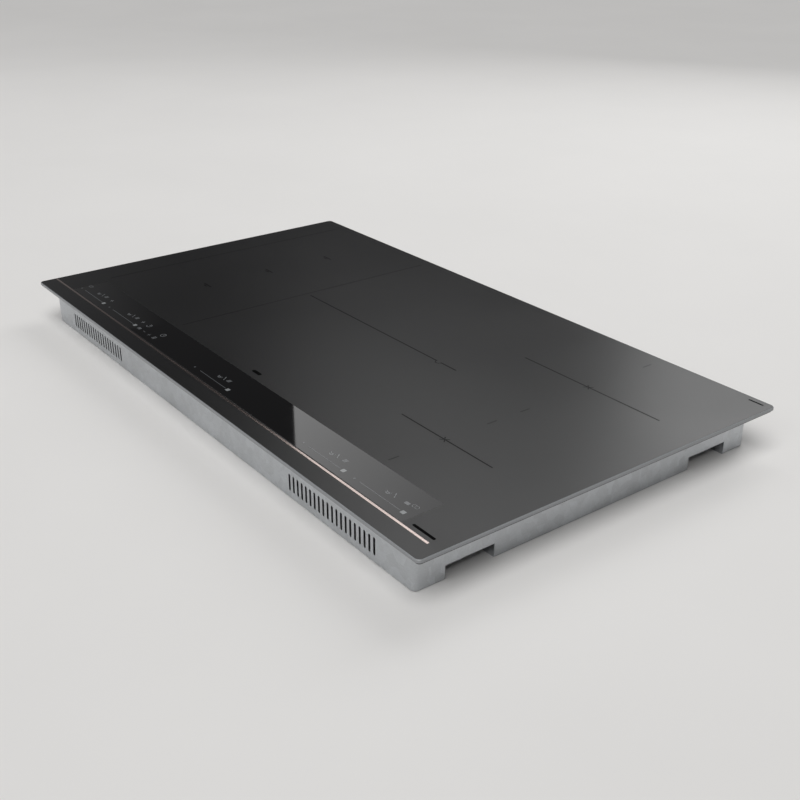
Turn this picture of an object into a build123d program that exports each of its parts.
from build123d import *
import os
from math import sqrt

# Built-in induction hob: a bevelled glass plate bonded to an aluminium frame, over a sheet-steel
# casing that holds five coils, their electronics, two blowers and a mains terminal box.
# Millimetres, +Z up, front towards -Y, origin at the bottom centre of the casing.

# ---- overall sizes ----
glass_width = 900
glass_depth = 510
glass_thickness = 4
glass_corner = 6
glass_bevel = 0.9
glass_arris = 0.4
overall_height = 55

# ---- fit in the worktop cut-out ----
side_overhang = 20  # glass beyond the cut-out, left and right
end_overhang = 10  # glass beyond the cut-out, front and rear
cutout_gap = 5  # casing to cut-out, all round
tape_width = 7
tape_thickness = 2.5
tape_inset = 2

# ---- casing and frame ----
sheet = 0.8
casing_corner = 6
floor_bend = 1.5
frame_sheet = 1.5
frame_flange = 12
frame_leg = 14
bead_thickness = 1
bead_width = 8
casing_top_gap = 0.5
frame_screw_radius = 2
frame_screw_head = 3.6
frame_screw_head_height = 1.6
frame_screw_socket = 1.4
frame_screw_reach = 4
frame_screw_from_side = 102
frame_screw_from_end = 96
socket_depth = 1.1
thread_gap = 0.05
hole_gap = 0.25

# ---- copper trim let into the glass ----
trim_width = 3
trim_sunk = 0.6
trim_proud = 0.15
trim_from_front = 25
trim_right_inset = 17

# ---- ribs pressed into the casing floor, and air slots in its walls ----
rib_x = 115
rib_y = -25
rib_width = 12
rib_height = 2
rib_end_gap = 65
slot_width = 3.5
slot_pitch = 7
wall_slot_pitch = 8
wall_slot_level = 19
front_slot_height = 20
front_slots = 20
rear_slot_height = 16
rear_slots = 7

# ---- cooking zones: centres from the nearest glass edges, and winding sizes ----
side_zone_inset = 163
rear_flex_from_rear = 119
front_flex_from_front = 193
rear_right_from_rear = 132
front_right_from_front = 162.5
centre_zone_x = -3
centre_zone_from_rear = 225
flex_coil_straight_x = 60
flex_coil_straight_y = 36
flex_coil_inner = 18
flex_coil_corner = 77.5
centre_coil_inner = 26
centre_coil_radius = 85.5
ring_gap = 18
ring_coil_radius = 158.5
rear_coil_inner = 26
rear_coil_radius = 99
front_coil_inner = 24
front_coil_radius = 70.5
wire = 4
wire_gap = 0.4
coil_play = 0.1
pad_thickness = 3
pad_margin = 3
former_floor = 2
former_rim = 1.5
former_rim_height = 3
former_hub_radius = 8
former_hub_bore = 6
ferrite_height = 4
ferrite_width = 12
ferrite_bars = 8
centre_ferrite_bars = 12
ferrite_inset = 4
window_width = 7
window_inset = 12
sensor_radius = 5
sensor_height = 5
sensor_stem_radius = 2
sensor_stem_gap = 1
spring_turns = 4
spring_radius = 3.4
spring_wire = 0.7
plate_sheet = 1.5
plate_lip = 6
plate_gap = 2
plate_corner = 4
plate_touch_gap = 12
plate_frame_gap = 1
lead_hole_radius = 7
lead_hole_offset = 16

# ---- supports and electronics ----
post_radius = 4
post_inset = 8
post_pocket_gap = 8
post_screw_radius = 1.6
post_screw_head = 3.2
post_screw_head_height = 2
post_screw_socket = 1.4
post_screw_length = 12
board_sheet = 1.6
board_lift = 5
board_foot_radius = 3
board_foot_inset = 6
board_pin_radius = 1.6
board_pin_beyond = 1.5
board_corner = 3
power_board_width = 184
power_board_depth = 245
power_board_gap = 9
filter_board_width = 140
filter_board_depth = 170
filter_board_y = 40
filter_column = 26
heatsink_width = 60
heatsink_length = 150
heatsink_height = 26
heatsink_foot = 5
heatsink_wall = 3.5
heatsink_fin = 1.6
heatsink_fins = 8
heatsink_gap = 8
transistor_gap = 0.1
transistor_width = 16
transistor_height = 17
transistor_thickness = 5
transistor_pitch = 36
transistor_rows = 4
lead_height = 5
lead_pitch = 5
lead_size = (1, 2)
film_width = 18
film_depth = 42
film_height = 24
film_edge = 1.5
film_pitch = 55
film_from_edge = 9
film_gap = 6
can_radius = 9
can_height = 25
can_edge = 1.2
can_pitch = 23
can_from_edge = 18
choke_radius = 17
choke_bore = 7
choke_height = 20
choke_edge = 3
choke_pitch = 40
choke_from_front = 32.5
relay_width = 29
relay_depth = 13
relay_height = 16
relay_edge = 0.8
relay_pitch = 25
relay_from_middle = 37.5

# ---- blowers ----
blower_size = 92
blower_height = 26
blower_wall = 2
blower_from_rear = 90
blower_corner = 8
blower_intake_radius = 30
grille_margin = 4
motor_radius = 12
motor_height = 3
impeller_radius = 34
impeller_clearance = 3
impeller_height = 17
impeller_lift = 4
spindle_radius = 1.5
spindle_play = 0.05
blade_count = 23
blade_length = 11
blade_thickness = 1
blade_angle = 30
blade_inset = 6.2
blade_ring_width = 3
blade_ring_thickness = 1.2
impeller_plate = 1.4
impeller_rim = 2
impeller_hub_radius = 6
impeller_hub_lift = 3

# ---- touch panel under the glass ----
touch_from_side = 61
touch_depth = 44
touch_from_front = 50
carrier_wall = 2
carrier_corner = 3
touch_board_play = 0.5
carrier_height = 12
carrier_leg_radius = 4
carrier_leg_pitch = 350
carrier_ribs = 7
carrier_rib_height = 2
touch_key_radius = 4
touch_key_row = 9
touch_led_row = -8
led_bar_length = 60
led_bar_depth = 8
led_bar_gap = 0.4
slider_key_pitch = 14
main_key_pitch = 21
slider_centres = [-349.5, -252, 5, 245, 339]
main_keys_x = -176
ribbon_x = 20
ribbon_width = 20
ribbon_sheet = 1
ribbon_bend = 1.8
ribbon_slot = 6
ribbon_from_front = 12
ribbon_on_board = 8
ribbon_lift = 4

# ---- mains terminal box in the rear wall ----
terminal_x = -170
terminal_width = 110
terminal_depth = 54
terminal_height = 26
terminal_lift = 3
terminal_wall = 2
terminal_corner = 1.5
cheek_depth = 12
lid_stop_height = 1.5
lid_stop_width = 2
terminal_play = 0.2
lid_width = 72
lid_thickness = 2
lid_barrel_radius = 1.6
lid_notch_radius = 4
lid_pin_radius = 1.2
lid_pin_length = 1.6
lid_pin_play = 0.08
lid_play = 0.3
inlet_radius = 6.5
inlet_wall = 2
inlet_inside = 8
inlet_outside = 4.5
inlet_lift = 8
terminal_ways = 6
way_pitch = 10
way_width = 7
way_height = 8
way_lift = 2
way_screw_offset = 5
way_screw_radius = 1.5
way_screw_head = 2.1
way_screw_head_height = 2
way_screw_lift = 0.7
way_screw_reach = 4
way_screw_slot = 0.7
sleeve_bore = 2.4
sleeve_play = 0.2
sleeve_inset = 1
block_depth = 20
block_height = 14
block_from_front = 21
block_offset = 2
pillar_radius = 3
pillar_height = 16
pillar_gap = 1
cable_clamp_thickness = 2.5
cable_clamp_from_collar = 12
cable_clamp_nub = (9, 3, 1.5)
cable_screw_radius = 1.25
cable_screw_head = 2.4
cable_screw_head_height = 1.8
cable_screw_reach = 8

# ---- worktop clamps in pockets pressed into the floor ----
clamp_from_end = 50
clamp_from_side = 21
clamp_length = 44
clamp_width = 18
clamp_sheet = 2
clamp_step = 6
clamp_lift = 4.1
clamp_screw_radius = 2.5
clamp_screw_head = 4.5
clamp_screw_head_height = 3
clamp_screw_edge = 0.8
clamp_screw_socket = 2.2
clamp_screw_beyond = 3
clamp_rise_start = 16
clamp_rise_end = 22
clamp_lean = 0.8
clamp_tip_corner = 4
clamp_heel_corner = 8.5
clamp_play = 0.1
pocket_depth = 40
pocket_height = 16
pocket_margin = 4
nut_height = 5
nut_radius = 4.5

# ---- sizes that follow ----
cutout_width = glass_width - 2 * side_overhang
cutout_depth = glass_depth - 2 * end_overhang
casing_width = cutout_width - 2 * cutout_gap
casing_depth = cutout_depth - 2 * cutout_gap
glass_bottom = overall_height - glass_thickness
flange_top = glass_bottom - bead_thickness
flange_bottom = flange_top - frame_sheet
casing_top = flange_bottom - casing_top_gap
frame_width = casing_width + 2 * frame_sheet
frame_depth = casing_depth + 2 * frame_sheet
winding_level = glass_bottom - pad_thickness - coil_play - wire / 2
former_top = winding_level - wire / 2 - coil_play
former_bottom = former_top - former_floor
plate_top = former_bottom - ferrite_height
plate_bottom = plate_top - plate_sheet
board_bottom = sheet + board_lift
board_top = board_bottom + board_sheet
wire_pitch = wire + wire_gap
trim_y = trim_from_front - glass_depth / 2
trim_left = -glass_width / 2 + glass_bevel
trim_right = glass_width / 2 - trim_right_inset
frame_screw_level = flange_top - frame_leg / 2 - frame_sheet
touch_y = touch_from_front - glass_depth / 2
touch_length = glass_width - 2 * touch_from_side
carrier_top = glass_bottom
carrier_bottom = carrier_top - carrier_height
touch_board_bottom = carrier_bottom + carrier_wall + carrier_rib_height
touch_board_top = touch_board_bottom + board_sheet
side_x = glass_width / 2 - side_zone_inset
blower_y = casing_depth / 2 - blower_from_rear
heatsink_y = blower_y - blower_size / 2 - heatsink_gap - heatsink_length / 2
power_board_y = blower_y - blower_size / 2 - power_board_gap - power_board_depth / 2
plate_front = touch_y + touch_depth / 2 + plate_touch_gap
plate_rear = frame_depth / 2 - frame_flange - plate_frame_gap
clamp_x = casing_width / 2 - clamp_from_side
clamp_y = casing_depth / 2 - clamp_from_end
rear_face = casing_depth / 2
lid_left = terminal_x - terminal_width / 2 + terminal_wall + lid_play
lid_right = lid_left + lid_width
lid_middle = (lid_left + lid_right) / 2
lid_axis_y = rear_face - terminal_play - lid_thickness / 2
lid_axis_z = terminal_lift + terminal_height - terminal_wall - lid_thickness
cheek_x = lid_right + lid_play + terminal_wall / 2
inlet_x = (cheek_x + terminal_wall / 2 + terminal_x + terminal_width / 2 - terminal_wall) / 2
terminal_floor = terminal_lift + terminal_wall
inlet_z = terminal_floor + inlet_lift
block_y = rear_face - terminal_depth + block_from_front
block_top = terminal_floor + block_height
cable_clamp_top = terminal_floor + pillar_height + cable_clamp_thickness
way_z = terminal_floor + way_lift + way_height / 2
sides = {"left": -1, "right": 1}

# The four outer faces of the casing: local X runs along the wall, local Y is up, Z points outwards.
walls = {
    "front": Plane(origin=(0, -casing_depth / 2, 0), x_dir=(1, 0, 0), z_dir=(0, -1, 0)),
    "rear": Plane(origin=(0, casing_depth / 2, 0), x_dir=(-1, 0, 0), z_dir=(0, 1, 0)),
    "left": Plane(origin=(-casing_width / 2, 0, 0), x_dir=(0, -1, 0), z_dir=(-1, 0, 0)),
    "right": Plane(origin=(casing_width / 2, 0, 0), x_dir=(0, 1, 0), z_dir=(1, 0, 0)),
}
long_wall_screw = casing_width / 2 - frame_screw_from_side
short_wall_screw = casing_depth / 2 - frame_screw_from_end
frame_screws_on = {
    "front": [-long_wall_screw, 0, long_wall_screw],
    "rear": [-long_wall_screw, 0, long_wall_screw],
    "left": [-short_wall_screw, short_wall_screw],
    "right": [-short_wall_screw, short_wall_screw],
}

# Each zone: its centre, the straight stretch of its turns, its innermost radius and its corner radius.
rear_y = glass_depth / 2
flex_coil = dict(
    straight=(flex_coil_straight_x, flex_coil_straight_y), inner=flex_coil_inner, corner=flex_coil_corner
)
zones = {
    "rear_left": dict(centre=(-side_x, rear_y - rear_flex_from_rear), **flex_coil),
    "front_left": dict(centre=(-side_x, front_flex_from_front - rear_y), **flex_coil),
    "centre": dict(
        centre=(centre_zone_x, rear_y - centre_zone_from_rear),
        straight=(0, 0),
        inner=centre_coil_inner,
        corner=centre_coil_radius,
    ),
    "rear_right": dict(
        centre=(side_x, rear_y - rear_right_from_rear),
        straight=(0, 0),
        inner=rear_coil_inner,
        corner=rear_coil_radius,
    ),
    "front_right": dict(
        centre=(side_x, front_right_from_front - rear_y),
        straight=(0, 0),
        inner=front_coil_inner,
        corner=front_coil_radius,
    ),
}


def turns_between(inner, corner):
    """Whole turns of wire that fit between two radii."""
    return int((corner - inner - wire / 2) / wire_pitch)


def wound_radius(inner, corner):
    """Corner radius at the outside of the last turn."""
    return inner + turns_between(inner, corner) * wire_pitch + wire / 2


ring_inner = wound_radius(centre_coil_inner, centre_coil_radius) + ring_gap


def reach(name):
    """Half width and half depth of a zone's winding, to the outside of its wire."""
    if name == "centre":
        ring = wound_radius(ring_inner, ring_coil_radius)
        return ring, ring
    zone = zones[name]
    corner = wound_radius(zone["inner"], zone["corner"])
    return zone["straight"][0] / 2 + corner, zone["straight"][1] / 2 + corner


def former_reach(name):
    """Half width, half depth and corner radius of a zone's coil former."""
    half_width, half_depth = reach(name)
    corner = half_width - zones[name]["straight"][0] / 2
    grow = coil_play * 2 + former_rim
    return half_width + grow, half_depth + grow, corner + grow


def finish(builder, name):
    """Labels a finished piece and writes it."""
    builder.part.label = name
    export_step(builder.part, f"parts/{name}.step")


def rounded(width, depth, corner, mode=Mode.ADD):
    """A rectangle with round corners, or a circle where the corners take up all of it."""
    if width - 2 * corner < 0.01 and depth - 2 * corner < 0.01:
        Circle(corner, mode=mode)
    else:
        RectangleRounded(width, depth, corner, mode=mode)


# ---------------------------------------------------------------- glass, trim, seal and frame
def make_glass_plate():
    with BuildPart() as glass_plate:
        with BuildSketch(Plane.XY.offset(glass_bottom)):
            RectangleRounded(glass_width, glass_depth, glass_corner)
        extrude(amount=glass_thickness)
        chamfer(glass_plate.faces().sort_by(Axis.Z)[-1].edges(), glass_bevel)
        chamfer(glass_plate.faces().sort_by(Axis.Z)[0].edges(), glass_arris)
        groove_start = -glass_width / 2 - glass_bevel
        with BuildSketch(Plane.XY.offset(overall_height - trim_sunk)):
            with Locations(((groove_start + trim_right) / 2, trim_y)):
                Rectangle(trim_right - groove_start, trim_width)
        extrude(amount=trim_sunk, mode=Mode.SUBTRACT)
    finish(glass_plate, "glass_plate")


def make_copper_trim():
    with BuildPart() as copper_trim:
        with BuildSketch(Plane.XY.offset(overall_height - trim_sunk)):
            with Locations(((trim_left + trim_right) / 2, trim_y)):
                Rectangle(trim_right - trim_left, trim_width)
        extrude(amount=trim_sunk + trim_proud)
        chamfer(copper_trim.faces().sort_by(Axis.Z)[-1].edges(), trim_proud)
    finish(copper_trim, "copper_trim")


def make_sealing_tape():
    outer_width = glass_width - 2 * tape_inset
    outer_depth = glass_depth - 2 * tape_inset
    with BuildPart() as sealing_tape:
        with BuildSketch(Plane.XY.offset(glass_bottom - tape_thickness)):
            RectangleRounded(outer_width, outer_depth, glass_corner - tape_inset)
            Rectangle(outer_width - 2 * tape_width, outer_depth - 2 * tape_width, mode=Mode.SUBTRACT)
        extrude(amount=tape_thickness)
    finish(sealing_tape, "sealing_tape")


def make_bond_bead():
    inset = (frame_flange - bead_width) / 2
    outer_width = frame_width - 2 * inset
    outer_depth = frame_depth - 2 * inset
    with BuildPart() as bond_bead:
        with BuildSketch(Plane.XY.offset(flange_top)):
            RectangleRounded(outer_width, outer_depth, casing_corner)
            Rectangle(outer_width - 2 * bead_width, outer_depth - 2 * bead_width, mode=Mode.SUBTRACT)
        extrude(amount=bead_thickness)
    finish(bond_bead, "bond_bead")


def make_glass_frame():
    corner = casing_corner + frame_sheet
    with BuildPart() as glass_frame:
        with BuildSketch(Plane.XY.offset(flange_bottom)):
            RectangleRounded(frame_width, frame_depth, corner)
            Rectangle(frame_width - 2 * frame_flange, frame_depth - 2 * frame_flange, mode=Mode.SUBTRACT)
        extrude(amount=frame_sheet)
        with BuildSketch(Plane.XY.offset(flange_top - frame_leg)):
            RectangleRounded(frame_width, frame_depth, corner)
            RectangleRounded(casing_width, casing_depth, casing_corner, mode=Mode.SUBTRACT)
        extrude(amount=frame_leg)
        for wall, places in frame_screws_on.items():
            with BuildSketch(walls[wall]):
                with Locations(*[(place, frame_screw_level) for place in places]):
                    Circle(frame_screw_radius + hole_gap)
            extrude(amount=frame_sheet, mode=Mode.SUBTRACT)
    finish(glass_frame, "glass_frame")


def make_frame_screws():
    with BuildPart() as frame_screws:
        for wall, places in frame_screws_on.items():
            points = [(place, frame_screw_level) for place in places]
            with BuildSketch(walls[wall].offset(frame_sheet)):
                with Locations(*points):
                    Circle(frame_screw_head)
            extrude(amount=frame_screw_head_height)
            with BuildSketch(walls[wall].offset(-frame_screw_reach)):
                with Locations(*points):
                    Circle(frame_screw_radius)
            extrude(amount=frame_screw_reach + frame_sheet)
            with BuildSketch(walls[wall].offset(frame_sheet + frame_screw_head_height)):
                with Locations(*points):
                    RegularPolygon(frame_screw_socket, 6)
            extrude(amount=-socket_depth, mode=Mode.SUBTRACT)
    finish(frame_screws, "frame_screws")


# ---------------------------------------------------------------- casing
def pocket_box(side, end):
    """Centre and size of the floor pocket that holds one clamp, whose arm points to mid-depth."""
    near = clamp_width / 2 + pocket_margin
    far = clamp_length + pocket_margin
    centre_x = side * (casing_width / 2 - pocket_depth / 2)
    centre_y = end * (clamp_y - (far - near) / 2)
    return (centre_x, centre_y), near + far


def post_points():
    """Places of the posts that carry the three coil plates, clear of the pockets and terminal box."""
    points = []
    pocket_end = clamp_y - clamp_length - pocket_margin
    for low, high in plate_spans().values():
        for x in (low + post_inset, high - post_inset):
            front = plate_front + post_inset
            rear = plate_rear - post_inset
            if abs(x) + post_radius > casing_width / 2 - pocket_depth:
                front = post_radius + post_pocket_gap - pocket_end
            if abs(x - terminal_x) < terminal_width / 2 + 2 * post_radius:
                rear = rear_face - terminal_depth - 2 * post_inset
            points += [(x, front), (x, rear)]
    return points


def plate_spans():
    """Left and right edge of each coil plate: it covers the formers above it."""
    left_half = former_reach("rear_left")[0]
    right_half = former_reach("rear_right")[0]
    centre_half = former_reach("centre")[0]
    edge = casing_width / 2 - sheet - frame_flange
    left_inner = (-side_x + left_half + centre_zone_x - centre_half) / 2
    right_inner = (side_x - right_half + centre_zone_x + centre_half) / 2
    return {
        "left": (-edge, left_inner - plate_gap / 2),
        "centre": (left_inner + plate_gap / 2, right_inner - plate_gap / 2),
        "right": (right_inner + plate_gap / 2, edge),
    }


def board_feet(centre_x, centre_y, width, depth):
    """The four corners where a board stands on its feet."""
    spread_x, spread_y = width / 2 - board_foot_inset, depth / 2 - board_foot_inset
    return [
        (centre_x + i * spread_x, centre_y + j * spread_y)
        for i in (-1, 1)
        for j in (-1, 1)
    ]


def grille_slots(radius):
    """Parallel air slots that fill a circle."""
    count = int((radius - slot_width) / slot_pitch)
    for i in range(-count, count + 1):
        offset = i * slot_pitch
        with Locations((offset, 0)):
            SlotOverall(2 * sqrt(radius**2 - offset**2) - slot_width, slot_width, rotation=90)


def make_base_tray():
    with BuildPart() as base_tray:
        with BuildSketch():
            RectangleRounded(casing_width, casing_depth, casing_corner)
        extrude(amount=casing_top)
        fillet(base_tray.faces().sort_by(Axis.Z)[0].edges(), floor_bend)
        with BuildSketch(Plane.XY.offset(sheet)):
            RectangleRounded(casing_width - 2 * sheet, casing_depth - 2 * sheet, casing_corner - sheet)
        extrude(amount=casing_top, mode=Mode.SUBTRACT)
        # Pockets for the clamps, open downwards and to the side.
        for side in sides.values():
            for end in (-1, 1):
                (x, y), length = pocket_box(side, end)
                with BuildSketch(Plane.XY.offset(sheet / 2)):
                    with Locations((x - side * sheet, y)):
                        Rectangle(pocket_depth, length + 2 * sheet)
                extrude(amount=pocket_height + sheet / 2)
                with BuildSketch(Plane.XY):
                    with Locations((x + side * sheet, y)):
                        Rectangle(pocket_depth + 2 * sheet, length)
                extrude(amount=pocket_height, mode=Mode.SUBTRACT)
                with BuildSketch(Plane.XY.offset(pocket_height)):
                    with Locations((side * clamp_x, end * clamp_y)):
                        Circle(clamp_screw_radius + hole_gap)
                extrude(amount=sheet, mode=Mode.SUBTRACT)
        # Stiffening ribs pressed up out of the floor.
        rib_length = casing_depth - 2 * rib_end_gap
        for x in (-rib_x, rib_x):
            with BuildSketch(Plane.XY.offset(sheet / 2)):
                with Locations((x, rib_y)):
                    SlotOverall(rib_length, rib_width + 2 * sheet, rotation=90)
            extrude(amount=rib_height + sheet / 2)
            with BuildSketch():
                with Locations((x, rib_y)):
                    SlotOverall(rib_length - 2 * sheet, rib_width, rotation=90)
            extrude(amount=rib_height, mode=Mode.SUBTRACT)
        # Air: intakes under the blowers, outlets in the front wall, a few slots at the rear.
        for side in sides.values():
            with BuildSketch():
                with Locations((side * side_x, blower_y)):
                    grille_slots(blower_intake_radius + grille_margin)
            extrude(amount=sheet, mode=Mode.SUBTRACT)
            with BuildSketch(walls["front"]):
                with Locations((side * side_x, wall_slot_level)):
                    with GridLocations(wall_slot_pitch, 1, front_slots, 1):
                        SlotOverall(front_slot_height, slot_width, rotation=90)
            extrude(amount=-sheet, mode=Mode.SUBTRACT)
            with BuildSketch(walls["rear"]):
                with Locations((side * side_x, wall_slot_level)):
                    with GridLocations(wall_slot_pitch, 1, rear_slots, 1):
                        SlotOverall(rear_slot_height, slot_width, rotation=90)
            extrude(amount=-sheet, mode=Mode.SUBTRACT)
        # Window for the terminal box, and threaded holes for the frame screws.
        with BuildSketch(walls["rear"]):
            with Locations((-terminal_x, terminal_lift + terminal_height / 2)):
                Rectangle(terminal_width, terminal_height)
        extrude(amount=-sheet, mode=Mode.SUBTRACT)
        for wall, places in frame_screws_on.items():
            with BuildSketch(walls[wall]):
                with Locations(*[(place, frame_screw_level) for place in places]):
                    Circle(frame_screw_radius + thread_gap)
            extrude(amount=-sheet, mode=Mode.SUBTRACT)
    finish(base_tray, "base_tray")


# ---------------------------------------------------------------- clamps
def make_clamp(name, side, end):
    """A Z-shaped strap that turns on its screw: at rest it lies in its pocket, pointing to mid-depth."""
    x, y = side * clamp_x, end * clamp_y
    run = -end
    profile = Plane(origin=(x, y, 0), x_dir=(0, run, 0), z_dir=(run, 0, 0))
    back = -clamp_width / 2
    rise_start, rise_end = clamp_rise_start, clamp_rise_end
    low, high = clamp_lift, clamp_lift + clamp_step
    with BuildPart() as clamp:
        with BuildSketch(profile):
            with BuildLine():
                Polyline(
                    (back, low),
                    (rise_start + clamp_lean, low),
                    (rise_end + clamp_lean, high),
                    (clamp_length, high),
                    (clamp_length, high + clamp_sheet),
                    (rise_end - clamp_lean, high + clamp_sheet),
                    (rise_start - clamp_lean, low + clamp_sheet),
                    (back, low + clamp_sheet),
                    close=True,
                )
            make_face()
        extrude(amount=clamp_width / 2, both=True)
        upright = clamp.edges().filter_by(Axis.Z)
        fillet(upright.sort_by(Axis.Y, reverse=run < 0)[:2], clamp_heel_corner)
        fillet(clamp.edges().filter_by(Axis.Z).sort_by(Axis.Y, reverse=run > 0)[:2], clamp_tip_corner)
        with BuildSketch(Plane.XY.offset(clamp_lift)):
            with Locations((x, y)):
                Circle(clamp_screw_radius + clamp_play)
        extrude(amount=clamp_sheet, mode=Mode.SUBTRACT)
    finish(clamp, name)


def clamp_points():
    return [(side * clamp_x, end * clamp_y) for side in sides.values() for end in (-1, 1)]


def make_clamp_screws():
    head_top = clamp_lift - clamp_play
    head_bottom = head_top - clamp_screw_head_height
    with BuildPart() as clamp_screws:
        with BuildSketch(Plane.XY.offset(head_bottom)):
            with Locations(*clamp_points()):
                Circle(clamp_screw_head)
        extrude(amount=clamp_screw_head_height)
        chamfer(clamp_screws.edges().group_by(Axis.Z)[0], clamp_screw_edge)
        with BuildSketch(Plane.XY.offset(head_top)):
            with Locations(*clamp_points()):
                Circle(clamp_screw_radius)
        extrude(amount=pocket_height + sheet + nut_height + clamp_screw_beyond - head_top)
        with BuildSketch(Plane.XY.offset(head_bottom)):
            with Locations(*clamp_points()):
                RegularPolygon(clamp_screw_socket, 6)
        extrude(amount=2 * socket_depth, mode=Mode.SUBTRACT)
    finish(clamp_screws, "clamp_screws")


def make_clamp_nuts():
    with BuildPart() as clamp_nuts:
        with BuildSketch(Plane.XY.offset(pocket_height + sheet)):
            with Locations(*clamp_points()):
                RegularPolygon(nut_radius, 6)
                Circle(clamp_screw_radius + thread_gap, mode=Mode.SUBTRACT)
        extrude(amount=nut_height)
    finish(clamp_nuts, "clamp_nuts")


# ---------------------------------------------------------------- coils
def spiral(centre, straight, inner, corner):
    """Draws a flat spiral: straights joined by quarter arcs that each grow by a quarter of the pitch."""
    point = Vector(centre[0] + straight[0] / 2 + inner, centre[1] - straight[1] / 2, winding_level)
    for quarter in range(4 * turns_between(inner, corner)):
        heading = Vector(0, 1).rotate(Axis.Z, 90 * quarter)
        length = straight[1] if quarter % 2 == 0 else straight[0]
        if length:
            Line(point, point + heading * length)
            point = point + heading * length
        radius = inner + quarter * wire_pitch / 4
        JernArc(start=point, tangent=heading, radius=radius, arc_size=90)
        point = point + heading * radius + heading.rotate(Axis.Z, 90) * radius


def make_winding(name):
    """One flat spiral of litz wire, or two rings of it in the centre zone."""
    zone = zones[name]
    rings = [(zone["inner"], zone["corner"])]
    if name == "centre":
        rings.append((ring_inner, ring_coil_radius))
    with BuildPart() as winding:
        for inner, corner in rings:
            with BuildLine(Plane.XY.offset(winding_level)) as path:
                spiral(zone["centre"], zone["straight"], inner, corner)
            with BuildSketch(path.line ^ 0):
                Circle(wire / 2)
            sweep(path=path.wires()[0])
    finish(winding, f"winding_{name}")


def make_former(name):
    """The moulded disc under a coil, with a rim round it, a hub for the sensor and air windows."""
    zone = zones[name]
    half_width, half_depth, corner = former_reach(name)
    bars = ferrite_places(name)
    with BuildPart() as former:
        with BuildSketch(Plane(origin=(*zone["centre"], former_bottom))):
            rounded(2 * half_width, 2 * half_depth, corner)
            Circle(former_hub_bore, mode=Mode.SUBTRACT)
        extrude(amount=former_floor)
        with BuildSketch(Plane(origin=(*zone["centre"], former_top))):
            rounded(2 * half_width, 2 * half_depth, corner)
            inner = corner - former_rim
            rounded(2 * (half_width - former_rim), 2 * (half_depth - former_rim), inner, mode=Mode.SUBTRACT)
            Circle(former_hub_radius)
            Circle(former_hub_bore, mode=Mode.SUBTRACT)
        extrude(amount=former_rim_height)
        # Windows between the ferrite bars let cooling air reach the wire.
        with BuildSketch(Plane(origin=(*zone["centre"], former_bottom))):
            for start, end, angle in bars:
                middle = (start + end) / 2
                with Locations(Location((0, 0, 0), (0, 0, angle + 180 / len(bars)))):
                    with Locations((middle, 0)):
                        SlotOverall(end - start - 2 * window_inset, window_width)
        extrude(amount=former_floor, mode=Mode.SUBTRACT)
    finish(former, f"coil_former_{name}")


def ferrite_places(name):
    """Inner end, outer end and direction of each ferrite bar under a coil."""
    count = centre_ferrite_bars if name == "centre" else ferrite_bars
    start = zones[name]["inner"] + ferrite_inset
    if zones[name]["straight"][0]:
        start += zones[name]["straight"][1] / 2
    end = min(reach(name)) - ferrite_inset
    return [(start, end, 360 * i / count) for i in range(count)]


def make_ferrites(name):
    zone = zones[name]
    with BuildPart() as ferrites:
        with BuildSketch(Plane(origin=(*zone["centre"], plate_top))):
            for start, end, angle in ferrite_places(name):
                with Locations(Location((0, 0, 0), (0, 0, angle))):
                    with Locations(((start + end) / 2, 0)):
                        Rectangle(end - start, ferrite_width)
        extrude(amount=ferrite_height)
    finish(ferrites, f"ferrites_{name}")


def make_insulation_pads():
    with BuildPart() as insulation_pads:
        for name, zone in zones.items():
            half_width, half_depth, corner = former_reach(name)
            with BuildSketch(Plane(origin=(*zone["centre"], glass_bottom - pad_thickness))):
                cut = former_rim + pad_margin
                rounded(2 * (half_width - cut), 2 * (half_depth - cut), corner - cut)
                Circle(former_hub_radius, mode=Mode.SUBTRACT)
            extrude(amount=pad_thickness)
    finish(insulation_pads, "insulation_pads")


def make_temperature_sensors():
    """A capsule pressed against the glass at each zone's centre, on a stem through the former's hub."""
    centres = [zone["centre"] for zone in zones.values()]
    cap_bottom = glass_bottom - sensor_height
    with BuildPart() as sensors:
        with BuildSketch(Plane.XY.offset(cap_bottom)):
            with Locations(*centres):
                Circle(sensor_radius)
        extrude(amount=sensor_height)
        with BuildSketch(Plane.XY.offset(cap_bottom)):
            with Locations(*centres):
                Circle(sensor_stem_radius)
        extrude(amount=plate_top + sensor_stem_gap - cap_bottom)
    finish(sensors, "temperature_sensors")


def make_sensor_springs():
    """The spring round each sensor's stem, from its cap down to the coil plate."""
    low = plate_top + spring_wire / 2
    height = glass_bottom - sensor_height - spring_wire / 2 - low
    with BuildPart() as springs:
        for zone in zones.values():
            with BuildLine(Plane(origin=(*zone["centre"], low))) as coil:
                Helix(pitch=height / spring_turns, height=height, radius=spring_radius)
            with BuildSketch(coil.line ^ 0):
                Circle(spring_wire / 2)
            sweep(path=coil.wires()[0])
    finish(springs, "sensor_springs")


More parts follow.
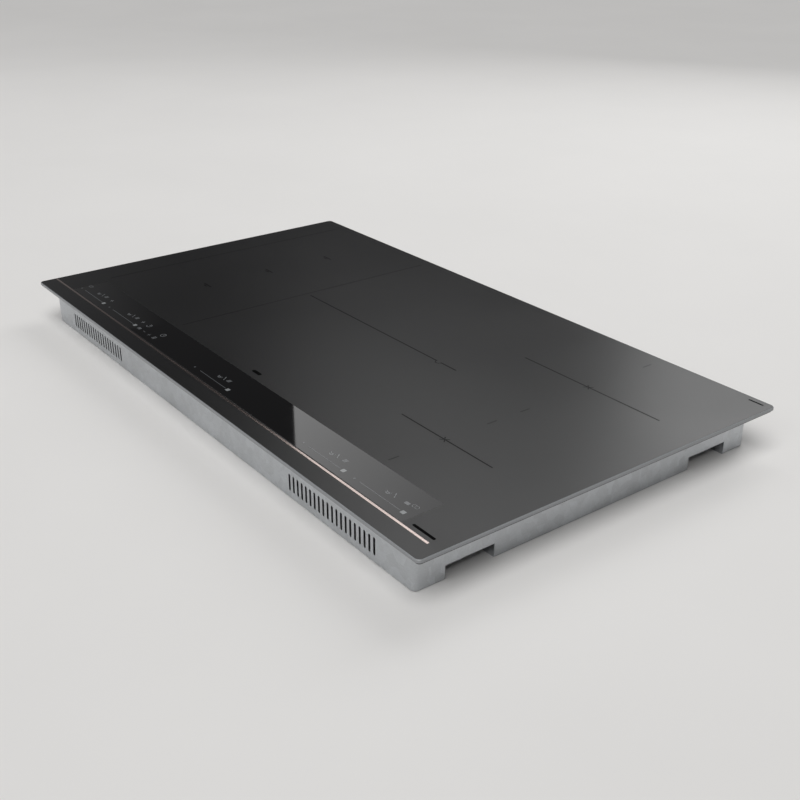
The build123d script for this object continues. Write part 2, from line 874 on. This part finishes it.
# ---------------------------------------------------------------- coil plates and posts
def make_coil_plate(name):
    """An aluminium sheet with its front and rear edges turned down, under the coils of one side."""
    low, high = plate_spans()[name]
    span = (high - low, plate_rear - plate_front)
    middle = ((low + high) / 2, (plate_front + plate_rear) / 2)
    with BuildPart() as plate:
        with BuildSketch(Plane.XY.offset(plate_bottom)):
            with Locations(middle):
                RectangleRounded(*span, plate_corner)
        extrude(amount=plate_sheet)
        with BuildSketch(Plane.XY.offset(plate_bottom - plate_lip)):
            for edge in (plate_front + plate_sheet / 2, plate_rear - plate_sheet / 2):
                with Locations((middle[0], edge)):
                    Rectangle(span[0] - 4 * post_inset, plate_sheet)
        extrude(amount=plate_lip)
        with BuildSketch(Plane.XY.offset(plate_bottom)):
            for zone in zones.values():
                if low < zone["centre"][0] < high:
                    with Locations((zone["centre"][0] + lead_hole_offset, zone["centre"][1])):
                        Circle(lead_hole_radius)
            with Locations(*[p for p in post_points() if low < p[0] < high]):
                Circle(post_screw_radius + hole_gap)
        extrude(amount=plate_sheet, mode=Mode.SUBTRACT)
    finish(plate, f"coil_plate_{name}")


def make_plate_posts():
    with BuildPart() as plate_posts:
        with BuildSketch(Plane.XY.offset(sheet)):
            with Locations(*post_points()):
                RegularPolygon(post_radius, 6)
        extrude(amount=plate_bottom - sheet)
        with BuildSketch(Plane.XY.offset(plate_bottom)):
            with Locations(*post_points()):
                Circle(post_screw_radius + thread_gap)
        extrude(amount=-post_screw_length, mode=Mode.SUBTRACT)
    finish(plate_posts, "plate_posts")


def make_plate_screws():
    with BuildPart() as plate_screws:
        with BuildSketch(Plane.XY.offset(plate_top)):
            with Locations(*post_points()):
                Circle(post_screw_head)
        extrude(amount=post_screw_head_height)
        with BuildSketch(Plane.XY.offset(plate_top - post_screw_length)):
            with Locations(*post_points()):
                Circle(post_screw_radius)
        extrude(amount=post_screw_length)
        with BuildSketch(Plane.XY.offset(plate_top + post_screw_head_height)):
            with Locations(*post_points()):
                RegularPolygon(post_screw_socket, 6)
        extrude(amount=-socket_depth, mode=Mode.SUBTRACT)
    finish(plate_screws, "plate_screws")


# ---------------------------------------------------------------- electronics
def make_power_boards():
    with BuildPart() as boards:
        with BuildSketch(Plane.XY.offset(board_bottom)):
            for side in sides.values():
                centre_x = side * side_x
                with Locations((centre_x, power_board_y)):
                    RectangleRounded(power_board_width, power_board_depth, board_corner)
                with Locations(*board_feet(centre_x, power_board_y, power_board_width, power_board_depth)):
                    Circle(board_pin_radius + thread_gap, mode=Mode.SUBTRACT)
        extrude(amount=board_sheet)
    finish(boards, "power_boards")


def make_filter_board():
    feet = board_feet(0, filter_board_y, filter_board_width, filter_board_depth)
    with BuildPart() as board:
        with BuildSketch(Plane.XY.offset(board_bottom)):
            with Locations((0, filter_board_y)):
                RectangleRounded(filter_board_width, filter_board_depth, board_corner)
            with Locations(*feet):
                Circle(board_pin_radius + thread_gap, mode=Mode.SUBTRACT)
        extrude(amount=board_sheet)
    finish(board, "filter_board")


def make_board_feet():
    with BuildPart() as feet:
        points = board_feet(0, filter_board_y, filter_board_width, filter_board_depth)
        for side in sides.values():
            points += board_feet(side * side_x, power_board_y, power_board_width, power_board_depth)
        with BuildSketch(Plane.XY.offset(sheet)):
            with Locations(*points):
                Circle(board_foot_radius)
        extrude(amount=board_lift)
        with BuildSketch(Plane.XY.offset(board_bottom)):
            with Locations(*points):
                Circle(board_pin_radius)
        extrude(amount=board_sheet + board_pin_beyond)
    finish(feet, "board_feet")


def make_heatsinks():
    """Extruded channels with fins, in the blowers' air streams."""
    rear_end = heatsink_y + heatsink_length / 2
    profile = Plane(origin=(0, rear_end, board_top), x_dir=(1, 0, 0), z_dir=(0, -1, 0))
    inner = heatsink_width - 2 * heatsink_wall
    with BuildPart() as heatsinks:
        with BuildSketch(profile):
            for side in sides.values():
                with Locations((side * side_x, heatsink_foot / 2)):
                    Rectangle(heatsink_width, heatsink_foot)
                with Locations((side * side_x, heatsink_height / 2)):
                    with GridLocations(heatsink_width - heatsink_wall, 1, 2, 1):
                        Rectangle(heatsink_wall, heatsink_height)
                    with GridLocations(inner / (heatsink_fins + 1), 1, heatsink_fins, 1):
                        Rectangle(heatsink_fin, heatsink_height)
        extrude(amount=heatsink_length)
    finish(heatsinks, "heatsinks")


def make_transistors():
    """Power transistors stood on the boards, flat against the heatsinks' outer walls."""
    out = heatsink_width / 2 + transistor_gap + transistor_thickness / 2
    spots = [(side * side_x + face * out, heatsink_y) for side in sides.values() for face in (-1, 1)]
    with BuildPart() as transistors:
        with BuildSketch(Plane.XY.offset(board_top + lead_height)):
            with Locations(*spots):
                with GridLocations(1, transistor_pitch, 1, transistor_rows):
                    Rectangle(transistor_thickness, transistor_width)
        extrude(amount=transistor_height)
        with BuildSketch(Plane.XY.offset(board_top)):
            with Locations(*spots):
                with GridLocations(1, transistor_pitch, 1, transistor_rows):
                    with GridLocations(1, lead_pitch, 1, 3):
                        Rectangle(*lead_size)
        extrude(amount=lead_height)
    finish(transistors, "transistors")


def power_board_spots(from_edge, y):
    """A place near each long edge of each power board."""
    out = power_board_width / 2 - from_edge
    return [(side * side_x + face * out, y) for side in sides.values() for face in (-1, 1)]


def make_film_capacitors():
    spots = power_board_spots(film_from_edge + film_width / 2, heatsink_y - film_pitch / 2)
    with BuildPart() as capacitors:
        with BuildSketch(Plane.XY.offset(board_top)):
            with Locations(*spots):
                with GridLocations(1, film_pitch, 1, 2):
                    Rectangle(film_width, film_depth)
            with Locations((-filter_column, filter_board_y + film_depth)):
                with GridLocations(film_width + film_gap, 1, 2, 1):
                    Rectangle(film_width, film_depth)
        extrude(amount=film_height)
        fillet(capacitors.edges().filter_by(Axis.Z), film_edge)
    finish(capacitors, "film_capacitors")


def make_electrolytic_capacitors():
    front = power_board_y - power_board_depth / 2 + can_from_edge + can_pitch / 2
    with BuildPart() as capacitors:
        with BuildSketch(Plane.XY.offset(board_top)):
            with Locations(*power_board_spots(can_from_edge, front)):
                with GridLocations(1, can_pitch, 1, 2):
                    Circle(can_radius)
        extrude(amount=can_height)
        fillet(capacitors.edges().group_by(Axis.Z)[-1], can_edge)
    finish(capacitors, "electrolytic_capacitors")


def make_chokes():
    """Wound rings: two at each power board's front and two on the filter board."""
    front = power_board_y - power_board_depth / 2 + choke_from_front
    with BuildPart() as chokes:
        with BuildSketch(Plane.XY.offset(board_top)):
            for side in sides.values():
                with Locations((side * side_x, front)):
                    with GridLocations(choke_pitch, 1, 2, 1):
                        Circle(choke_radius)
                        Circle(choke_bore, mode=Mode.SUBTRACT)
            with Locations((filter_column + choke_radius, filter_board_y + choke_pitch / 2)):
                with GridLocations(1, choke_pitch, 1, 2):
                    Circle(choke_radius)
                    Circle(choke_bore, mode=Mode.SUBTRACT)
        extrude(amount=choke_height)
        fillet(chokes.edges().group_by(Axis.Z)[-1], choke_edge)
    finish(chokes, "chokes")


def make_relays():
    with BuildPart() as relays:
        with BuildSketch(Plane.XY.offset(board_top)):
            with Locations((-filter_column, filter_board_y - relay_from_middle)):
                with GridLocations(1, relay_pitch, 1, 3):
                    Rectangle(relay_width, relay_depth)
        extrude(amount=relay_height)
        fillet(relays.edges().filter_by(Axis.Z), relay_edge)
    finish(relays, "relays")


# ---------------------------------------------------------------- blowers
def make_blower_housing(name, side):
    """A square scroll: air comes up through the floor and leaves forwards over the heatsink."""
    x = side * side_x
    chamber = impeller_radius + impeller_clearance
    outlet = heatsink_width - 2 * blower_wall
    inner_height = blower_height - 2 * blower_wall
    with BuildPart() as housing:
        with BuildSketch(Plane(origin=(x, blower_y, sheet))):
            RectangleRounded(blower_size, blower_size, blower_corner)
        extrude(amount=blower_height)
        with BuildSketch(Plane(origin=(x, blower_y, sheet + blower_wall))):
            Circle(chamber)
            with Locations((0, -blower_size / 4)):
                Rectangle(outlet, blower_size / 2)
        extrude(amount=inner_height, mode=Mode.SUBTRACT)
        with BuildSketch(Plane(origin=(x, blower_y, sheet))):
            Circle(blower_intake_radius)
        extrude(amount=blower_wall, mode=Mode.SUBTRACT)
        with BuildSketch(Plane(origin=(x, blower_y, sheet + blower_height - blower_wall))):
            Circle(motor_radius)
        extrude(amount=-motor_height)
        with BuildSketch(Plane(origin=(x, blower_y, sheet + blower_height - blower_wall))):
            Circle(spindle_radius)
        extrude(amount=-inner_height + impeller_lift)
    finish(housing, name)


def make_impeller(name, side):
    """Slanted blades between a back plate and a ring, on a hub that runs on the spindle."""
    x = side * side_x
    base = sheet + blower_wall + impeller_lift
    plate_level = impeller_height - impeller_plate - impeller_rim
    with BuildPart() as impeller:
        with BuildSketch(Plane(origin=(x, blower_y, base + plate_level))):
            Circle(impeller_radius)
        extrude(amount=impeller_plate)
        with BuildSketch(Plane(origin=(x, blower_y, base))):
            Circle(impeller_radius)
            Circle(impeller_radius - blade_ring_width, mode=Mode.SUBTRACT)
        extrude(amount=blade_ring_thickness)
        with BuildSketch(Plane(origin=(x, blower_y, base))):
            with PolarLocations(impeller_radius - blade_inset, blade_count):
                Rectangle(blade_length, blade_thickness, rotation=blade_angle)
        extrude(amount=plate_level)
        with BuildSketch(Plane(origin=(x, blower_y, base + impeller_hub_lift))):
            Circle(impeller_hub_radius)
        extrude(amount=plate_level - impeller_hub_lift)
        with BuildSketch(Plane(origin=(x, blower_y, base))):
            Circle(spindle_radius + spindle_play)
        extrude(amount=impeller_height, mode=Mode.SUBTRACT)
    finish(impeller, name)


# ---------------------------------------------------------------- touch panel
def make_touch_carrier():
    """A moulded trough that holds the touch board up against the glass."""
    with BuildPart() as carrier:
        with BuildSketch(Plane(origin=(0, touch_y, carrier_bottom))):
            RectangleRounded(touch_length, touch_depth, carrier_corner)
        extrude(amount=carrier_height)
        with BuildSketch(Plane(origin=(0, touch_y, carrier_bottom + carrier_wall))):
            RectangleRounded(touch_length - 2 * carrier_wall, touch_depth - 2 * carrier_wall, 1)
        extrude(amount=carrier_height, mode=Mode.SUBTRACT)
        with BuildSketch(Plane(origin=(0, touch_y, carrier_bottom + carrier_wall))):
            with GridLocations(touch_length / (carrier_ribs + 1), 1, carrier_ribs, 1):
                Rectangle(carrier_wall, touch_depth - carrier_wall)
        extrude(amount=carrier_rib_height)
        with BuildSketch(Plane(origin=(0, touch_y, carrier_bottom))):
            with Locations((ribbon_x, ribbon_from_front - touch_depth / 2)):
                Rectangle(ribbon_width + ribbon_slot, ribbon_slot)
        extrude(amount=carrier_wall, mode=Mode.SUBTRACT)
        # Legs that stand on the casing floor.
        with BuildSketch(Plane(origin=(0, touch_y, sheet))):
            with GridLocations(carrier_leg_pitch, 1, 3, 1):
                Circle(carrier_leg_radius)
        extrude(amount=carrier_bottom - sheet)
    finish(carrier, "touch_carrier")



def make_touch_board():
    with BuildPart() as board:
        with BuildSketch(Plane(origin=(0, touch_y, touch_board_bottom))):
            inset = 2 * (carrier_wall + touch_board_play)
            RectangleRounded(touch_length - inset, touch_depth - inset, 1)
        extrude(amount=board_sheet)
    finish(board, "touch_board")


def make_touch_keys():
    """Conductive foam studs between the board and the glass, in a row behind the sliders."""
    height = glass_bottom - touch_board_top
    with BuildPart() as keys:
        with BuildSketch(Plane(origin=(0, touch_y + touch_key_row, touch_board_top))):
            for centre in slider_centres:
                with Locations((centre, 0)):
                    with GridLocations(slider_key_pitch, 1, 4, 1):
                        Circle(touch_key_radius)
            with Locations((main_keys_x, 0)):
                with GridLocations(main_key_pitch, 1, 3, 1):
                    Circle(touch_key_radius)
        extrude(amount=height)
    finish(keys, "touch_keys")


def make_led_bars():
    """One light bar under each slider."""
    with BuildPart() as bars:
        with BuildSketch(Plane(origin=(0, touch_y + touch_led_row, touch_board_top))):
            with Locations(*[(centre, 0) for centre in slider_centres]):
                Rectangle(led_bar_length, led_bar_depth)
        extrude(amount=glass_bottom - touch_board_top - led_bar_gap)
    finish(bars, "led_bars")


def make_ribbon_cable():
    """The flat cable from the touch board, through the trough's slot, down to the filter board."""
    start_y = touch_y - touch_depth / 2 + ribbon_from_front
    low = board_top + ribbon_lift
    side = Plane(origin=(ribbon_x, 0, 0), x_dir=(0, 1, 0), z_dir=(1, 0, 0))
    end_y = filter_board_y - filter_board_depth / 2 + ribbon_on_board
    with BuildPart() as ribbon:
        with BuildSketch(side):
            with BuildLine():
                FilletPolyline(
                    (start_y, touch_board_bottom),
                    (start_y, low),
                    (end_y, low),
                    (end_y, board_top),
                    radius=ribbon_bend,
                )
            trace(line_width=ribbon_sheet)
        extrude(amount=ribbon_width / 2, both=True)
    finish(ribbon, "ribbon_cable")


# ---------------------------------------------------------------- mains terminal box
def make_terminal_box():
    front = rear_face - terminal_depth
    inner_front, inner_rear = front + terminal_wall, rear_face - terminal_wall
    body_width, body_height = terminal_width - 2 * terminal_play, terminal_height - 2 * terminal_play
    inner_width, inner_height = terminal_width - 2 * terminal_wall, terminal_height - 2 * terminal_wall
    stop_y = lid_axis_y - lid_thickness / 2 - lid_play - lid_stop_width / 2
    box_foot = terminal_lift + terminal_play
    with BuildPart() as box:
        with BuildSketch(Plane(origin=(terminal_x, (front + rear_face) / 2, box_foot))):
            RectangleRounded(body_width, terminal_depth, terminal_corner)
        extrude(amount=body_height)
        with BuildSketch(Plane(origin=(terminal_x, (inner_front + inner_rear) / 2, terminal_floor))):
            Rectangle(inner_width, inner_rear - inner_front)
        extrude(amount=inner_height, mode=Mode.SUBTRACT)
        # Opening for the lid, a cheek that carries its inner pin, and a stop behind its foot.
        with BuildSketch(Plane.XZ.offset(-rear_face)):
            with Locations((lid_middle, terminal_lift + terminal_height / 2)):
                Rectangle(lid_width + 2 * lid_play, inner_height)
        extrude(amount=terminal_wall, mode=Mode.SUBTRACT)
        with BuildSketch(Plane.XY.offset(terminal_floor)):
            with Locations((cheek_x, rear_face - cheek_depth / 2)):
                Rectangle(terminal_wall, cheek_depth)
        extrude(amount=inner_height)
        with BuildSketch(Plane.XY.offset(terminal_floor)):
            with Locations((lid_middle, stop_y)):
                Rectangle(lid_width, lid_stop_width)
        extrude(amount=lid_stop_height)
        for start, along in ((lid_left - lid_play, -1), (lid_right + lid_play, 1)):
            hole = Plane(origin=(start, lid_axis_y, lid_axis_z), x_dir=(0, 1, 0), z_dir=(along, 0, 0))
            with BuildSketch(hole):
                Circle(lid_pin_radius + lid_pin_play)
            extrude(amount=lid_pin_length, mode=Mode.SUBTRACT)
        # Collar for the mains cable, and two pillars for its clamp.
        with BuildSketch(Plane.XZ.offset(inlet_inside - rear_face)):
            with Locations((inlet_x, inlet_z)):
                Circle(inlet_radius + inlet_wall)
        extrude(amount=-inlet_inside - inlet_outside)
        with BuildSketch(Plane.XZ.offset(inlet_inside - rear_face)):
            with Locations((inlet_x, inlet_z)):
                Circle(inlet_radius)
        extrude(amount=-inlet_inside - inlet_outside, mode=Mode.SUBTRACT)
        with BuildSketch(Plane.XY.offset(terminal_floor)):
            with Locations(*pillar_points()):
                Circle(pillar_radius)
        extrude(amount=pillar_height)
        with BuildSketch(Plane.XY.offset(terminal_floor + pillar_height)):
            with Locations(*pillar_points()):
                Circle(cable_screw_radius + thread_gap)
        extrude(amount=-cable_screw_reach, mode=Mode.SUBTRACT)
    finish(box, "terminal_box")


def pillar_points():
    """The clamp's two pillars stand either side of the cable, inside its collar."""
    spread = inlet_radius + pillar_radius + pillar_gap
    y = rear_face - inlet_inside - cable_clamp_from_collar
    return [(inlet_x - spread, y), (inlet_x + spread, y)]


def make_cable_clamp():
    (left, y), (right, _) = pillar_points()
    with BuildPart() as clamp:
        with BuildSketch(Plane.XY.offset(terminal_floor + pillar_height)):
            with Locations((inlet_x, y)):
                SlotOverall(right - left + 2 * pillar_radius, 2 * pillar_radius)
            with Locations(*pillar_points()):
                Circle(cable_screw_radius + hole_gap, mode=Mode.SUBTRACT)
        extrude(amount=cable_clamp_thickness)
        with BuildSketch(Plane.XY.offset(terminal_floor + pillar_height)):
            with Locations((inlet_x, y)):
                Rectangle(*cable_clamp_nub[:2])
        extrude(amount=-cable_clamp_nub[2])
    finish(clamp, "cable_clamp")


def make_terminal_lid():
    """The lid hangs on two pins at its top edge and swings outwards and up."""
    foot = terminal_floor + lid_play
    pin_start = lid_left - lid_pin_length - lid_play / 2
    barrel = Plane(origin=(lid_left, lid_axis_y, lid_axis_z), x_dir=(0, 1, 0), z_dir=(1, 0, 0))
    pins = Plane(origin=(pin_start, lid_axis_y, lid_axis_z), x_dir=(0, 1, 0), z_dir=(1, 0, 0))
    face_y = lid_axis_y + lid_thickness / 2
    outside = Plane(origin=(lid_middle, face_y, foot), x_dir=(-1, 0, 0), z_dir=(0, 1, 0))
    with BuildPart() as lid:
        with BuildSketch(Plane(origin=(lid_middle, lid_axis_y, foot))):
            Rectangle(lid_width, lid_thickness)
        extrude(amount=lid_axis_z - foot)
        with BuildSketch(barrel):
            Circle(lid_barrel_radius)
        extrude(amount=lid_width)
        with BuildSketch(pins):
            Circle(lid_pin_radius)
        extrude(amount=2 * (lid_middle - pin_start))
        with BuildSketch(outside):
            Circle(lid_notch_radius)
        extrude(amount=-lid_thickness, mode=Mode.SUBTRACT)
    finish(lid, "terminal_lid")


def way_centres():
    first = lid_middle - block_offset - (terminal_ways - 1) / 2 * way_pitch
    return [first + i * way_pitch for i in range(terminal_ways)]


def way_screw_points():
    """Two screws clamp each way, one for the core that enters at either side."""
    return [(x, block_y + side * way_screw_offset) for x in way_centres() for side in (-1, 1)]


def make_terminal_block():
    through = Plane(origin=(0, block_y + block_depth / 2, way_z), x_dir=(-1, 0, 0), z_dir=(0, 1, 0))
    length = terminal_ways * way_pitch + way_lift
    with BuildPart() as block:
        with BuildSketch(Plane(origin=(lid_middle - block_offset, block_y, terminal_floor))):
            RectangleRounded(length, block_depth, 1)
        extrude(amount=block_height)
        with BuildSketch(through):
            with Locations(*[(-x, 0) for x in way_centres()]):
                Rectangle(way_width, way_height)
        extrude(amount=-block_depth, mode=Mode.SUBTRACT)
        with BuildSketch(Plane.XY.offset(block_top)):
            with Locations(*way_screw_points()):
                Circle(way_screw_head + sleeve_play)
        extrude(amount=way_z - block_top, mode=Mode.SUBTRACT)
    finish(block, "terminal_block")


def make_terminal_sleeves():
    """Brass sleeves in the block, bored for the cores."""
    length = block_depth - 2 * sleeve_inset
    through = Plane(origin=(0, block_y + length / 2, way_z), x_dir=(-1, 0, 0), z_dir=(0, 1, 0))
    with BuildPart() as sleeves:
        with BuildSketch(through):
            with Locations(*[(-x, 0) for x in way_centres()]):
                Rectangle(way_width - 2 * sleeve_play, way_height - 2 * sleeve_play)
                Circle(sleeve_bore, mode=Mode.SUBTRACT)
        extrude(amount=-length)
        with BuildSketch(Plane.XY.offset(way_z)):
            with Locations(*way_screw_points()):
                Circle(way_screw_radius + thread_gap)
        extrude(amount=way_height, mode=Mode.SUBTRACT)
    finish(sleeves, "terminal_sleeves")


def make_terminal_screws():
    """The screws of the terminal ways, slotted, and the two of the cable clamp."""
    head_bottom = way_z + way_height / 2 - sleeve_play + way_screw_lift
    head_top = head_bottom + way_screw_head_height
    with BuildPart() as screws:
        with BuildSketch(Plane.XY.offset(head_bottom)):
            with Locations(*way_screw_points()):
                Circle(way_screw_head)
        extrude(amount=way_screw_head_height)
        with BuildSketch(Plane.XY.offset(head_bottom)):
            with Locations(*way_screw_points()):
                Circle(way_screw_radius)
        extrude(amount=-way_screw_reach)
        with BuildSketch(Plane.XY.offset(head_top)):
            with Locations(*way_screw_points()):
                Rectangle(2 * way_screw_head + sleeve_play, way_screw_slot)
        extrude(amount=-socket_depth, mode=Mode.SUBTRACT)
        with BuildSketch(Plane.XY.offset(cable_clamp_top)):
            with Locations(*pillar_points()):
                Circle(cable_screw_head)
        extrude(amount=cable_screw_head_height)
        with BuildSketch(Plane.XY.offset(cable_clamp_top)):
            with Locations(*pillar_points()):
                Circle(cable_screw_radius)
        extrude(amount=-cable_clamp_thickness - cable_screw_reach)
    finish(screws, "terminal_screws")


def main():
    os.makedirs("parts", exist_ok=True)
    make_glass_plate()
    make_copper_trim()
    make_sealing_tape()
    make_bond_bead()
    make_glass_frame()
    make_frame_screws()
    make_base_tray()
    for side_name, side in sides.items():
        make_clamp(f"clamp_front_{side_name}", side, -1)
        make_clamp(f"clamp_rear_{side_name}", side, 1)
        make_blower_housing(f"blower_housing_{side_name}", side)
        make_impeller(f"impeller_{side_name}", side)
    make_clamp_screws()
    make_clamp_nuts()
    for name in zones:
        make_winding(name)
        make_former(name)
        make_ferrites(name)
    make_insulation_pads()
    make_temperature_sensors()
    make_sensor_springs()
    for name in plate_spans():
        make_coil_plate(name)
    make_plate_posts()
    make_plate_screws()
    make_power_boards()
    make_filter_board()
    make_board_feet()
    make_heatsinks()
    make_transistors()
    make_film_capacitors()
    make_electrolytic_capacitors()
    make_chokes()
    make_relays()
    make_touch_carrier()
    make_touch_board()
    make_touch_keys()
    make_led_bars()
    make_ribbon_cable()
    make_terminal_box()
    make_terminal_lid()
    make_cable_clamp()
    make_terminal_block()
    make_terminal_sleeves()
    make_terminal_screws()


main()
